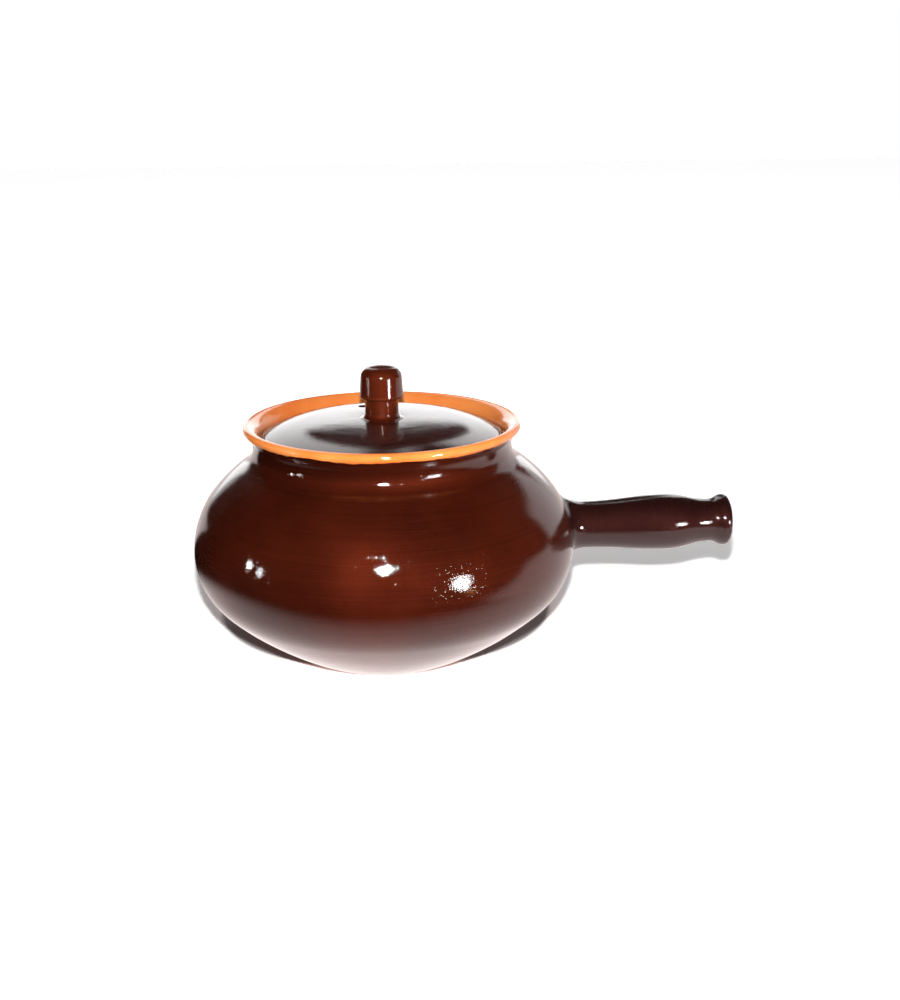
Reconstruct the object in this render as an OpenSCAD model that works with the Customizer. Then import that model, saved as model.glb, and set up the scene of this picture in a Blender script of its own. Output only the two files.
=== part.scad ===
// Terracotta cooking pot: a thrown, round-bellied pot with a flared lip,
// a hollow handle luted to its belly, and a domed lid with a luted knob.
// The pot's axis is Z, its foot stands on Z = 0 and the handle points along +X.

/* [Body] */
// Outer diameter across the rounded lip
rim_d = 200; // [166:1:240]
// Widest outer diameter of the belly
belly_d = 278; // [250:1:336]
// Height of the belly's widest line above the table
belly_z = 80; // [62:1:96]
// How far the flat foot stands in under the belly's widest line
foot_inset = 77; // [64:1:90]
// Angle at which the outside leaves the table, in degrees
foot_angle = 26.5; // [10:0.5:32]
// Height from the table to the top of the lip
body_h = 172.6; // [160:0.1:208]
// How far the lip stands out over the narrowest line of the neck
lip_overhang = 6.5; // [5:0.1:8]
// Height of the neck's narrowest line below the top of the lip
neck_drop = 17; // [14:0.5:20]
// Wall thickness of the belly and shoulder
wall = 6.5; // [5:0.1:8]
// Thickness of the floor
floor_t = 7; // [5:0.1:10]
// Thickness of the rounded lip
lip_t = 6.4; // [5:0.1:7.6]
// Inside radius where the floor turns up into the wall
floor_round = 40; // [20:1:60]

/* [Lid seat] */
// Width of the flared lip, from its outside in to the recess that holds the lid
flare_w = 12.6; // [11.5:0.1:14]
// Depth of the seat ledge below the top of the lip
seat_drop = 15.1; // [13.5:0.1:17]
// Width of the seat ledge, from the recess in to the mouth
ledge_w = 6.4; // [5:0.1:12]
// Rounding of the ledge's upper corner
ledge_round = 2.4; // [1:0.1:3.5]
// Rounding of the ledge's lower corner
ledge_under_round = 4; // [2:0.5:6]

/* [Lid] */
// Gap all round between the lid's edge and the recess
lid_side_gap = 1; // [0.5:0.1:2]
// Gap between the lid's edge and the seat ledge
lid_seat_gap = 0.3; // [0.2:0.05:0.6]
// Thickness of the dome
lid_wall = 5.5; // [4.5:0.1:7]
// Height of the lid's edge
lid_edge_h = 7; // [6:0.1:9]
// Rise of the dome above its edge
lid_rise = 9.4; // [8:0.1:20]
// Downward slope of the dome at its edge, in degrees
lid_edge_slope = 25; // [20:1:36]
// Diameter of the steam vent
vent_d = 8; // [4:0.5:10]
// Distance of the steam vent from the lid's centre
vent_r = 43; // [25:1:60]
// Direction of the steam vent, in degrees from the handle
vent_angle = 105; // [0:5:355]

/* [Knob] */
// Height of the knob above the lid
knob_h = 38.2; // [30:0.5:48]
// Diameter of the knob's foot
knob_foot_d = 31; // [27:0.5:36]
// Diameter of the knob's neck
knob_neck_d = 24; // [18:0.2:26]
// Height of the neck's upper end above the lid
knob_neck_h = 15; // [12:0.5:17]
// Diameter of the cap at its lower edge
cap_d = 31.6; // [29:0.2:40]
// Diameter that the cap's side leans in to at its top
cap_top_d = 30; // [27:0.2:38]
// Rounding of the cap's upper edge
cap_round = 8; // [4:0.5:10]

/* [Handle] */
// Height of the handle's axis above the table
handle_z = 87.4; // [76:1:98]
// Length of the handle from the belly's widest line
handle_len = 120; // [100:1:150]
// Diameter at the narrow root
handle_root_d = 35.2; // [32:0.5:40]
// Diameter of the grip at its fullest
handle_grip_d = 41.8; // [38:0.2:50]
// Diameter of the waist before the end
handle_waist_d = 32.4; // [29:0.2:36]
// Diameter of the rolled end
handle_end_d = 38.8; // [35:0.5:46]
// Distance from the belly's widest line to the narrow root
root_x = 11; // [8:0.5:20]
// Distance from the end to the grip's fullest line
grip_back = 48; // [40:0.5:60]
// Distance from the end to the waist
waist_back = 14.5; // [12:0.5:18]
// Rounding of the rolled end
end_round = 4; // [2.5:0.1:5]
// Wall thickness of the hollow handle
handle_wall = 5.5; // [4:0.1:7]
// Radius of the clay fillet that joins the handle to the belly
luting_round = 18; // [12:1:28]

/* [Hidden] */
$fn = 180;

// How far a chord may lie inside its arc
chord_error = 0.04;
// Share of a single arc's turn that the shoulder makes before the neck
shoulder_turn = 0.913;
// Lengths of the tangents shared out over each pair of arcs
lower_share = 0.63;
upper_share = 0.74;
lid_share = 0.9;
// Slope of the luting fillet where it runs into the belly
luting_slope = 32;
// Small fillet in the corner of the seat
seat_fillet = 1;
// Rounding of the lid's edge, above and below
edge_top_round = 3;
edge_foot_round = 1.2;
// Width of the flat ring that the lid stands on
lid_ring_w = 4.4;
// Lower part of the recess that stands straight
recess_straight = 2.6;
// Height and rounding of the knob's foot
knob_foot_h = 6;
knob_foot_edge = 1;
// Rounding of the cap's lower edge
cap_edge_round = 1.6;
// Steps along the knob's flared foot, in degrees
flare_step = 10;
// How far the handle's outline is drawn inside the belly before it is cut
luting_depth = 20;

body_brown = "#4a1710";
lid_brown = "#431510";

lip_r = lip_t / 2;
lip_centre = [rim_d / 2 - lip_r, body_h - lip_r];
belly = [belly_d / 2, belly_z];
neck = [rim_d / 2 - lip_overhang, body_h - neck_drop];
seat_z = body_h - seat_drop;
recess_r = rim_d / 2 - flare_w;
mouth_r = recess_r - ledge_w;
lid_r = recess_r - lid_side_gap;
lid_z = seat_z + lid_seat_gap;
crown_z = lid_z + lid_edge_h + lid_rise;

// Unit vector along a heading, and the one to its left
function ahead(h) = [cos(h), sin(h)];
function left_of(h) = [-sin(h), cos(h)];

// Centre of the circle that passes p with heading h. A positive radius turns left.
function centre_of(p, h, r) = p + r * left_of(h);

// Points of an arc from p, turning from heading h0 to h1, without p itself
function turn(p, h0, h1, r) =
    let (signed_r = r * sign(h1 - h0),
         centre = centre_of(p, h0, signed_r),
         step = 2 * acos(1 - min(chord_error / r, 0.5)),
         n = max(2, ceil(abs(h1 - h0) / step)))
    [for (i = [1:n]) centre - signed_r * left_of(h0 + (h1 - h0) * i / n)];

// A path is a start point, a start heading and a list of [end heading, radius] arcs
function path(p, h, arcs, i = 0) =
    i == len(arcs)
    ? [p]
    : let (points = turn(p, h, arcs[i][0], arcs[i][1]))
      concat([p], [for (k = [0:1:len(points) - 2]) points[k]],
             path(points[len(points) - 1], arcs[i][0], arcs, i + 1));

function last(list) = list[len(list) - 1];

// Two arcs that run smoothly from p0 to p1 with the given headings, as
// [first radius, middle heading, second radius]. share is the length of
// the second tangent over the first's.
function two_arcs(p0, h0, p1, h1, share) =
    let (v = p1 - p0,
         w = ahead(h0) + share * ahead(h1),
         k = 2 * share * (1 - ahead(h0) * ahead(h1)),
         d = (sqrt((v * w) * (v * w) + k * (v * v)) - v * w) / k,
         q = v - d * ahead(h0) - share * d * ahead(h1),
         middle = atan2(q[1], q[0]))
    [d / tan(abs(middle - h0) / 2), middle, share * d / tan(abs(h1 - middle) / 2)];

// Radius of an arc through p, with heading 90, that rolls onto the circle of
// radius r at c. side is 1 where that circle lies outside it and -1 inside.
function rolling_radius(p, c, r, side) =
    let (d = c - p)
    (d * d - r * r) / (2 * (d[0] + side * r));

// Direction from one point to another, in degrees
function direction(from, to) = atan2(to[1] - from[1], to[0] - from[0]);

// The cove of the neck rolls up into the lip
cove_r = rolling_radius(neck, lip_centre, lip_r, 1);
cove_centre = neck + [cove_r, 0];
cove_end = direction(cove_centre, lip_centre) - 90;

// Where the shoulder runs into the cove
shoulder_end = 90 + 2 * shoulder_turn * (direction(belly, neck) - 90);
shoulder_foot = cove_centre + cove_r * left_of(shoulder_end);

foot = [belly_d / 2 - foot_inset, 0];
lower = two_arcs(foot, foot_angle, belly, 90, lower_share);
upper = two_arcs(belly, 90, shoulder_foot, shoulder_end, upper_share);

// The inside of the recess opens out into the lip
flare_start = [recess_r, seat_z + recess_straight];
flare_r = rolling_radius(flare_start, lip_centre, lip_r, -1);
flare_top = direction(flare_start + [flare_r, 0], lip_centre) + 90;

// The inside of the wall keeps the wall's thickness from the outside
shoulder_centre = centre_of(shoulder_foot, shoulder_end, upper[2]);
shoulder_inner_r = upper[2] - wall;

// The joint between shoulder and neck crosses the wall squarely
joint_inside = shoulder_foot + wall * left_of(shoulder_end);
lower_centre = centre_of(foot, foot_angle, lower[0]);
lower_inner_r = lower[0] - wall;

// The ledge's lower corner rests on the inside of the shoulder
ledge_corner_x = mouth_r + ledge_under_round;
ledge_reach = shoulder_inner_r + ledge_under_round;
ledge_corner_z = shoulder_centre[1]
    + sqrt(pow(ledge_reach, 2) - pow(ledge_corner_x - shoulder_centre[0], 2));
ledge_heading = 90 + direction(shoulder_centre, [ledge_corner_x, ledge_corner_z]);

// The floor's round touches the floor and the inside of the lower wall
floor_reach = lower_inner_r - floor_round;
floor_corner_z = floor_t + floor_round;
floor_corner_x = lower_centre[0]
    + sqrt(pow(floor_reach, 2) - pow(lower_centre[1] - floor_corner_z, 2));
floor_heading = 90 + direction(lower_centre, [floor_corner_x, floor_corner_z]);

// Outside of the bowl, from the foot up to the widest line
function bowl_outside() =
    path(foot, foot_angle, [[lower[1], lower[0]], [90, lower[2]]]);

// Outside of the shoulder, from the widest line in to the neck
function shoulder_outside() =
    path(belly, 90, [[upper[1], upper[0]], [shoulder_end, upper[2]]]);

// The neck's cove, the rolled lip and the flare down to the recess
function neck_and_lip() =
    path(shoulder_foot, shoulder_end,
         [[cove_end, cove_r],
          [flare_top, lip_r],
          [270, flare_r]]);

// The seat ledge, from the foot of the recess to the mouth
function seat_ledge() =
    concat(path([recess_r, seat_z + seat_fillet], 270, [[180, seat_fillet]]),
           path([mouth_r + ledge_round, seat_z], 180, [[270, ledge_round]]));

// Inside of the neck, from the mouth down to the joint
function neck_inside() =
    path([mouth_r, ledge_corner_z], 270,
         [[ledge_heading + 180, ledge_under_round],
          [shoulder_end + 180, shoulder_inner_r]]);

// Inside of the shoulder, from the joint down to the widest line
function shoulder_inside() =
    path(joint_inside, shoulder_end + 180,
         [[upper[1] + 180, shoulder_inner_r],
          [270, upper[0] - wall]]);

// Inside of the bowl, from the widest line down to the middle of the floor
function bowl_inside() =
    path(belly - [wall, 0], 270,
         [[lower[1] + 180, lower[2] - wall],
          [floor_heading + 180, lower_inner_r],
          [180, floor_round]]);

function with_axis(points) = concat(points, [[0, last(points)[1]], [0, points[0][1]]]);

module revolve(points) {
    rotate_extrude() polygon(points);
}

// The same shape as the outside of the pot, filled in up to the neck
module filled_belly() {
    revolve(with_axis(concat(bowl_outside(), shoulder_outside())));
}

// The pot is thrown as one piece of clay. Its bowl, shoulder and neck are three solids
// that meet face to face, so that each one is a simple shell or ring.
module pot_bowl() {
    color(body_brown)
    revolve(with_axis(concat(bowl_outside(), bowl_inside())));
}

module pot_shoulder() {
    color(body_brown)
    revolve(concat(shoulder_outside(), shoulder_inside()));
}

module pot_neck() {
    color(body_brown)
    revolve(concat(neck_and_lip(), seat_ledge(), neck_inside()));
}

// A smooth S from one radius to another, level at both ends
function s_bend(from, to) =
    let (d = to - from,
         r = (d * d) / (4 * abs(d[1])),
         turn_by = 2 * atan2(d[1], d[0]))
    [[turn_by, r], [0, r]];

belly_r = belly_d / 2;
handle_end_x = belly_r + handle_len;
handle_inside_x = belly_r - luting_depth;
root_place = [belly_r + root_x, handle_root_d / 2];
grip_place = [handle_end_x - grip_back, handle_grip_d / 2];
waist_place = [handle_end_x - waist_back, handle_waist_d / 2];
end_place = [handle_end_x - end_round, handle_end_d / 2];
bore_shrink = [0, -handle_wall];

// Where the luting fillet starts its slope, and where that slope is inside the belly
luting_start = root_place + luting_round * [-sin(luting_slope), 1 - cos(luting_slope)];
slope_run = luting_start[0] - handle_inside_x;
slope_start = [handle_inside_x, luting_start[1] + slope_run * tan(luting_slope)];

// Outline of the hollow handle's wall, as [distance from the pot's axis, radius]
handle_outside = concat(
    [slope_start],
    path(luting_start, -luting_slope,
         concat([[0, luting_round]],
                s_bend(root_place, grip_place),
                s_bend(grip_place, waist_place),
                s_bend(waist_place, end_place),
                [[-180, end_round]])));
handle_bore = concat(
    [[handle_inside_x, handle_root_d / 2 - handle_wall]],
    path(root_place + bore_shrink, 0,
         concat(s_bend(root_place + bore_shrink, grip_place + bore_shrink),
                s_bend(grip_place + bore_shrink, waist_place + bore_shrink))));

module handle() {
    outline = concat(handle_outside, [for (i = [len(handle_bore) - 1:-1:0]) handle_bore[i]]);
    color(body_brown)
    difference() {
        translate([0, 0, handle_z])
        rotate([0, 90, 0])
        revolve([for (p = outline) [p[1], p[0]]]);
        filled_belly();
    }
}

// Top of the dome, from the flat pad under the knob to the lid's rounded edge
pad = [knob_foot_d / 2, crown_z];
dome_end = [lid_r - edge_top_round * (1 - sin(lid_edge_slope)),
            lid_z + lid_edge_h - edge_top_round * (1 - cos(lid_edge_slope))];
dome = two_arcs(pad, 0, dome_end, -lid_edge_slope, lid_share);

function lid_outline() =
    let (ring_in = lid_r - lid_ring_w,
         under_end = dome_end - lid_wall * left_of(-lid_edge_slope),
         under = path(under_end, 180 - lid_edge_slope,
                      [[180 + dome[1], dome[2] - lid_wall], [180, dome[0] - lid_wall]]))
    concat([[0, crown_z]],
           path(pad, 0, [[dome[1], dome[0]],
                         [-lid_edge_slope, dome[2]],
                         [-90, edge_top_round]]),
           path([lid_r, lid_z + edge_foot_round], -90, [[-180, edge_foot_round]]),
           [[ring_in, lid_z]],
           under,
           [[0, last(under)[1]]]);

module lid() {
    color(lid_brown)
    difference() {
        revolve(lid_outline());
        rotate([0, 0, vent_angle])
        translate([vent_r, 0, lid_z])
        cylinder(d = vent_d, h = crown_z);
    }
}

// Outline of the knob above its flat foot
function knob_outline() =
    let (foot_r = knob_foot_d / 2,
         neck_r = knob_neck_d / 2,
         cap_r = cap_d / 2,
         cap_top_r = cap_top_d / 2,
         cap_z = crown_z + knob_neck_h,
         top_z = crown_z + knob_h,
         lean = atan2(cap_r - cap_top_r, top_z - cap_round - cap_z),
         flare = knob_foot_h - knob_foot_edge)
    concat([[0, crown_z], [foot_r, crown_z], [foot_r, crown_z + knob_foot_edge]],
           [for (a = [flare_step:flare_step:90])
            [foot_r - (foot_r - neck_r) * sin(a), crown_z + knob_foot_edge + flare * (1 - cos(a))]],
           [[neck_r, cap_z]],
           path([cap_r - cap_edge_round, cap_z], 0, [[90 + lean, cap_edge_round]]),
           path([cap_top_r, top_z - cap_round], 90 + lean, [[180, cap_round]]),
           [[0, top_z + cap_round * sin(lean)]]);

module lid_knob() {
    color(lid_brown)
    revolve(knob_outline());
}

pot_bowl();
pot_shoulder();
pot_neck();
handle();
lid();
lid_knob();
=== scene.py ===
# %% [markdown]
# # A terracotta cooking pot in Blender
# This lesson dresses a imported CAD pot. The pot is thrown clay under a dark, glossy
# lead-brown glaze, with a clear-glazed orange lip and inside, a hollow handle luted to
# its belly, and a loose domed lid with a knob. The CAD gives every size. Blender adds
# smooth walls, the soft joins of the slip, the glazes and the light.

# %% Load the frame
import math
import bmesh
import bpy
from mathutils import Matrix, Vector, noise
from mathutils.bvhtree import BVHTree


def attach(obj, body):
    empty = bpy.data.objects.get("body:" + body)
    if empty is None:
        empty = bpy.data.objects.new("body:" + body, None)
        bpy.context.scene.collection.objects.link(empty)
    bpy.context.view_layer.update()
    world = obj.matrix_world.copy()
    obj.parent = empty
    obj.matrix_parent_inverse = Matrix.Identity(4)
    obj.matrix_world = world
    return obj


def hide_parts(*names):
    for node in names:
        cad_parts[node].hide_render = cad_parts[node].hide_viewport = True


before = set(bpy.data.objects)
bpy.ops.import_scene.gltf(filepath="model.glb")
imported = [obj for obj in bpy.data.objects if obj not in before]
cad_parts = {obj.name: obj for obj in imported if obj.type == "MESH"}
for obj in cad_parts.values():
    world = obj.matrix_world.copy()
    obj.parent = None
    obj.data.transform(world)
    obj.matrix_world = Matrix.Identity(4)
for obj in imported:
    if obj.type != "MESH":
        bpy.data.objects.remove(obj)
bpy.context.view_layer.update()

# %% [markdown]
# ## The camera
# The photograph was taken one metre from the pot's axis, 41 cm above the table, a little
# to the left of the pot. A camera can be placed by hand until the outlines agree. Here it
# comes from a fit to the rim, belly and handle, so it is written as numbers: where it
# stands, which way it looks, and which way is up in the picture.

# %% Place the camera
CAMERA_PLACE = Vector((-0.05234, -0.99863, 0.40983))
LOOK = Vector((0.09655, 0.95334, -0.28604))
UP = Vector((0.03676, 0.28377, 0.95819))
SENSOR_HEIGHT, PHOTO_HEIGHT, FOCAL_PIXELS = 36, 1000, 1421.08

camera_data = bpy.data.cameras.new("photo_camera")
camera_data.sensor_fit = "VERTICAL"
camera_data.sensor_height = SENSOR_HEIGHT
camera_data.lens = SENSOR_HEIGHT * FOCAL_PIXELS / PHOTO_HEIGHT
camera = bpy.data.objects.new("photo_camera", camera_data)
bpy.context.scene.collection.objects.link(camera)
camera_turn = Matrix((LOOK.cross(UP), UP, -LOOK)).transposed().to_4x4()
camera.matrix_world = Matrix.Translation(CAMERA_PLACE) @ camera_turn
bpy.context.scene.camera = camera
bpy.context.scene.view_settings.view_transform = "Standard"
print("lens %.1f mm, camera %.2f m from the pot" % (camera_data.lens, CAMERA_PLACE.length))

# %% [markdown]
# ## Drawing a thrown profile
# A potter's rib leaves a profile of arcs that run into each other without corners. It could
# be drawn as a curve, or typed in as points. Here one vertex is walked along headings: each
# arc is a spin of the last vertex about the arc's own centre, so it is tangent to the arc
# before it, and a straight stretch is an extruded vertex. Sizes are in millimetres until the
# piece is scaled to metres at the end.

# %% Walk a vertex along lines and arcs
MM = 0.001
FEWEST_STEPS, WIDEST_TURN, SAME_POINT = 3, 9, 0.001


def ahead(heading):
    return Vector((math.cos(math.radians(heading)), math.sin(math.radians(heading))))


def left_of(heading):
    return Vector((-math.sin(math.radians(heading)), math.cos(math.radians(heading))))


def direction(start, end):
    return math.degrees(math.atan2(end[1] - start[1], end[0] - start[0]))


def place(point):
    """A profile point (radius, height) in the XZ plane."""
    return Vector((point[0], 0, point[1]))


class Profile:
    """A chain of edges in the XZ plane. Each vertex knows how far along the wall it lies."""

    def __init__(self, start, heading):
        self.bm = bmesh.new()
        self.along = self.bm.verts.layers.float.new("along")
        self.tip = self.bm.verts.new(place(start))
        self.heading = heading

    def point(self):
        return Vector((self.tip.co.x, self.tip.co.z))

    def arc(self, heading, radius, step_length=2.4):
        """Bends to a new heading, in steps no longer than step_length."""
        turn = heading - self.heading
        signed = math.copysign(radius, turn)
        centre = self.point() + signed * left_of(self.heading)
        length = radius * math.radians(abs(turn))
        steps = max(FEWEST_STEPS, math.ceil(length / step_length),
                    math.ceil(abs(turn) / WIDEST_TURN))
        before, first = len(self.bm.verts), self.tip[self.along]
        made = bmesh.ops.spin(self.bm, geom=[self.tip], cent=place(centre),
                              axis=(0, -1, 0), angle=math.radians(turn), steps=steps)
        self.tip = made["geom_last"][0]
        self.bm.verts.ensure_lookup_table()
        step = length / steps * MM
        for i, vert in enumerate(self.bm.verts[before:]):
            vert[self.along] = first + (i + 1) * step
        self.heading = heading
        return self

    def line(self, to, steps=1):
        """Goes straight to a point, and heads the way it went."""
        start, first = self.point(), self.tip[self.along]
        length = (Vector(to) - start).length * MM
        for i in range(1, steps + 1):
            made = bmesh.ops.extrude_vert_indiv(self.bm, verts=[self.tip])
            self.tip = made["verts"][0]
            self.tip.co = place(start.lerp(Vector(to), i / steps))
            self.tip[self.along] = first + length * i / steps
        self.heading = direction(start, to)
        return self

    def spin(self, steps, axis=(0, 0, 1), height=0.0):
        """Turns the chain once round an axis through the origin, then lifts it."""
        bmesh.ops.spin(self.bm, geom=self.bm.verts[:] + self.bm.edges[:], cent=(0, 0, 0),
                       axis=axis, angle=math.tau, steps=steps, use_merge=True)
        bmesh.ops.remove_doubles(self.bm, verts=self.bm.verts, dist=SAME_POINT)
        bmesh.ops.translate(self.bm, verts=self.bm.verts, vec=(0, 0, height))
        bmesh.ops.recalc_face_normals(self.bm, faces=self.bm.faces)
        return self.bm


print("profile tools ready")

# %% [markdown]
# ## Two arcs between two headings
# Between two points of a thrown profile there is usually one slow curve and one quick one.
# A spline could do it, but a pair of arcs is exact and is what the CAD used, so the smooth
# pot lies on the CAD pot. The share sets how the bend is divided between the two.

# %% Solve a pair of arcs and a rolling arc


def two_arcs(start, heading, end, end_heading, share):
    """The first radius, the heading between the arcs, and the second radius."""
    v = Vector(end) - Vector(start)
    first, second = ahead(heading), ahead(end_heading)
    w = first + share * second
    k = 2 * share * (1 - first.dot(second))
    d = (math.sqrt(v.dot(w) ** 2 + k * v.dot(v)) - v.dot(w)) / k
    q = v - d * first - share * d * second
    middle = math.degrees(math.atan2(q.y, q.x))
    return (d / math.tan(math.radians(abs(middle - heading)) / 2), middle,
            share * d / math.tan(math.radians(abs(end_heading - middle)) / 2))


def rolling_radius(point, centre, radius, side):
    """The radius of the arc that leaves a point upright and rolls onto a circle."""
    d = Vector(centre) - Vector(point)
    return (d.dot(d) - radius ** 2) / (2 * (d.x + side * radius))


quarter_turn = two_arcs((0, 0), 0, (10, 10), 90, 1)
print("a quarter turn as two arcs:", [round(x, 1) for x in quarter_turn])

# %% [markdown]
# ## The sizes of the pot
# These are the CAD's own values, in millimetres: the rim, belly and foot, the recess that
# the lid drops into, and the wall. Points such as the lip's centre follow from them. The
# shares divide each bend between its two arcs.

# %% Work out the pot's key points
RIM_R, BELLY, FOOT_R, BODY_H = 100.0, Vector((139.0, 80.0)), 62.0, 172.6
WALL, FLOOR, FLOOR_ROUND = 6.5, 7.0, 40.0
LIP_R, NECK = 3.2, Vector((93.5, 155.6))
RECESS_R, MOUTH_R, SEAT_Z = 87.4, 81.0, 157.5
FOOT_ANGLE, RECESS_H, LOWER_SHARE, UPPER_SHARE, SHOULDER_BEND = 26.5, 2.6, 0.63, 0.74, 2 * 0.913

lip_centre = Vector((RIM_R - LIP_R, BODY_H - LIP_R))
cove_r = rolling_radius(NECK, lip_centre, LIP_R, 1)
cove_centre = NECK + Vector((cove_r, 0))
cove_end = direction(cove_centre, lip_centre) - 90
shoulder_end = 90 + SHOULDER_BEND * (direction(BELLY, NECK) - 90)
shoulder_foot = cove_centre + cove_r * left_of(shoulder_end)
flare_start = Vector((RECESS_R, SEAT_Z + RECESS_H))
flare_r = rolling_radius(flare_start, lip_centre, LIP_R, -1)
flare_top = direction(flare_start + Vector((flare_r, 0)), lip_centre) + 90
lower = two_arcs((FOOT_R, 0), FOOT_ANGLE, BELLY, 90, LOWER_SHARE)
upper = two_arcs(BELLY, 90, shoulder_foot, shoulder_end, UPPER_SHARE)
print("shoulder runs into the neck at (%.1f, %.1f)" % tuple(shoulder_foot))

# %% [markdown]
# The inside follows the outside at the wall's thickness. Under the seat ledge it leaves the
# ledge's lower corner for the shoulder, and low down it runs into the floor's own round.

# %% Work out the inside's key points
LEDGE_CORNER = 4.0
shoulder_centre = shoulder_foot + upper[2] * left_of(shoulder_end)
inner_r = upper[2] - WALL
ledge_x = MOUTH_R + LEDGE_CORNER
ledge_reach = (inner_r + LEDGE_CORNER) ** 2 - (ledge_x - shoulder_centre.x) ** 2
ledge_z = shoulder_centre.y + math.sqrt(ledge_reach)
ledge_heading = 90 + direction(shoulder_centre, (ledge_x, ledge_z))
lower_centre = Vector((FOOT_R, 0)) + lower[0] * left_of(FOOT_ANGLE)
floor_z = FLOOR + FLOOR_ROUND
floor_reach = (lower[0] - WALL - FLOOR_ROUND) ** 2 - (lower_centre.y - floor_z) ** 2
floor_x = lower_centre.x + math.sqrt(floor_reach)
floor_heading = 90 + direction(lower_centre, (floor_x, floor_z))
print("ledge corner (%.1f, %.1f)" % (ledge_x, ledge_z))
print("floor round starts at heading %.1f" % floor_heading)

# %% [markdown]
# ## Throwing the pot
# The real pot is one piece of clay, so it is one piece here too, though the CAD holds it as
# three solids for its collision hulls. One walk goes from the middle of the foot, up the
# outside, over the lip, down the flare, across the ledge and back along the inside.

# %% Walk the pot's profile
FOOT_EDGE, SEAT_CORNER, MOUTH_EDGE = 2.5, 1.0, 2.4
flat_foot = FOOT_R - FOOT_EDGE * math.tan(math.radians(FOOT_ANGLE / 2))
pot = Profile((0, 0), 0)
pot.line((40, 0), 8).line((flat_foot, 0), 8)
foot_end = pot.tip[pot.along]
pot.arc(FOOT_ANGLE, FOOT_EDGE)
low = two_arcs(pot.point(), FOOT_ANGLE, BELLY, 90, LOWER_SHARE)
pot.arc(low[1], low[0]).arc(90, low[2])
pot.arc(upper[1], upper[0]).arc(shoulder_end, upper[2])
pot.arc(cove_end, cove_r, 1.0).arc(180, LIP_R, 0.4)
lip_top = pot.tip[pot.along]
pot.arc(flare_top, LIP_R, 0.4).arc(270, flare_r, 0.8)
pot.line((RECESS_R, SEAT_Z + SEAT_CORNER)).arc(180, SEAT_CORNER, 0.3)
pot.line((MOUTH_R + MOUTH_EDGE, SEAT_Z), 2).arc(270, MOUTH_EDGE, 0.5)
pot.line((MOUTH_R, ledge_z), 3).arc(ledge_heading + 180, LEDGE_CORNER, 0.6)
pot.arc(upper[1] + 180, inner_r).arc(270, upper[0] - WALL)
pot.arc(lower[1] + 180, lower[2] - WALL).arc(floor_heading + 180, lower[0] - WALL)
pot.arc(180, FLOOR_ROUND).line((0, FLOOR), 8)
lip_z = max(v.co.z for v in pot.bm.verts)
print("profile has %d points, lip at %.1f mm" % (len(pot.bm.verts), lip_z))

# %% [markdown]
# A thrown wall is never quite true. The potter's fingers leave slow waves that climb with the
# turning wheel. A displacement texture could make them, but then the lip would move too. Here
# every vertex is drawn in along its own normal by up to a fifth of a millimetre, fading out
# at the neck and the foot, so that the mirror image in the glaze is gently uneven.

# %% Spin the pot and leave the potter's waves in it
WAVE_DEPTH, WAVE_LENGTH, UNEVEN_HEIGHT, UNEVEN_SCALE = 0.16, 27.0, 40, 1.7
NECK_STILL, NECK_FADE, FOOT_STILL, FOOT_FADE = BODY_H - 18, 20, 2, 15


def hand_waves(bm, depth, length):
    """Draws the wall in, by moves that are all worked out before the first is made."""
    bm.normal_update()
    moves = []
    for vert in bm.verts:
        turn = math.atan2(vert.co.y, vert.co.x)
        climb = math.sin(vert.co.z * math.tau / length + turn)
        on_wall = Vector((math.cos(turn), math.sin(turn), vert.co.z / UNEVEN_HEIGHT))
        uneven = noise.noise(on_wall * UNEVEN_SCALE)
        below_neck = min(1, max(0, (NECK_STILL - vert.co.z) / NECK_FADE))
        above_foot = min(1, max(0, (vert.co.z - FOOT_STILL) / FOOT_FADE))
        fade = below_neck * above_foot
        moves.append(depth * fade * (0.5 + 0.25 * climb + 0.5 * uneven))
    for vert, move in zip(bm.verts, moves):
        vert.co -= vert.normal * max(0, move)


POT_STEPS = 192
pot_mesh = pot.spin(POT_STEPS)
hand_waves(pot_mesh, WAVE_DEPTH, WAVE_LENGTH)
pot_tree = BVHTree.FromBMesh(pot_mesh)
on_axis = [v.co.z for v in pot_mesh.verts if v.co.xy.length < 0.1]
print("floor is %.1f mm thick in the middle" % (max(on_axis) - min(on_axis)))

# %% Sort the pot's faces by how far along the walk they lie
OUTSIDE, INSIDE, FOOT = 0, 1, 2
along = pot_mesh.verts.layers.float["along"]
for face in pot_mesh.faces:
    walked = sum(v[along] for v in face.verts) / len(face.verts)
    face.material_index = FOOT if walked < foot_end else OUTSIDE if walked < lip_top else INSIDE
counts = [sum(f.material_index == k for f in pot_mesh.faces) for k in (OUTSIDE, INSIDE, FOOT)]
print("faces outside, inside and under the foot:", counts)

# %% Turn a profile's mesh into an object


def finish_piece(bm, name):
    """Scales to metres, shades smooth and makes the object, at the origin and unturned."""
    bmesh.ops.scale(bm, vec=(MM, MM, MM), verts=bm.verts)
    for face in bm.faces:
        face.smooth = True
    mesh = bpy.data.meshes.new(name)
    bm.to_mesh(mesh)
    bm.free()
    piece = bpy.data.objects.new(name, mesh)
    bpy.context.scene.collection.objects.link(piece)
    print("%s: %d faces" % (name, len(mesh.polygons)))
    return piece


pot_piece = finish_piece(pot_mesh, "thrown_pot")
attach(pot_piece, "pot")
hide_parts("pot_bowl", "pot_shoulder", "pot_neck")

# %% [markdown]
# ## The hollow handle
# The handle is thrown by itself as a little bottle: a narrow root, a full grip, a waist and
# a rolled end. Its profile is walked like the pot's, with the radius as its height, and spun
# about a level axis. Each swelling is an S of two equal arcs, and the bore keeps the wall's
# thickness. The walk starts with spare rings before the root, for the slip join.

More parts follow.
